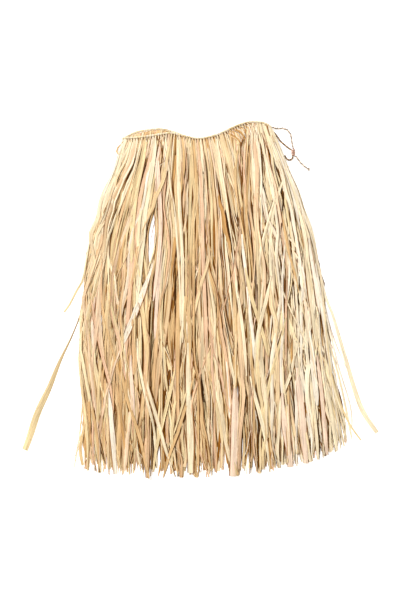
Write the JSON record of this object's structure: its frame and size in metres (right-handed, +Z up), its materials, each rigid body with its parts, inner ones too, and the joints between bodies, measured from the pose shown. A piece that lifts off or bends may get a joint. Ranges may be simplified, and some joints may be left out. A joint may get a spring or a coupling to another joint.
{
  "type": "raffia grass skirt",
  "caption": "Long grass skirt of loose raffia strips hitched over a waist cord, laid flat, folded in half at one side, with its twisted ties knotted together at the other.",
  "frame": {"origin": "middle of the underside of the skirt's bounding box, on the surface that it lies on, without the ties", "axes": "+Z up, off the surface; +Y from the hem to the waist; +X to the side with the ties"},
  "size_m": [0.8558, 0.8544, 0.0143],
  "materials": {
    "raffia_back": "dry raffia, matte with a soft sheen",
    "raffia_stray": "dry raffia, matte with a soft sheen",
    "raffia_front": "dry raffia, matte with a soft sheen",
    "tie_twine": "two-ply twisted raffia, matte"
  },
  "bodies": {
    "root": {"back_panel": "raffia_back", "fold_hitch": "raffia_stray", "front_panel": "raffia_front", "overlap_panel": "raffia_front", "upper_tie": "tie_twine", "lower_tie": "tie_twine", "short_end": "tie_twine", "long_end": "tie_twine", "tie_knot": "tie_twine", "end_knot": "tie_twine"}
  },
  "joints": []
}
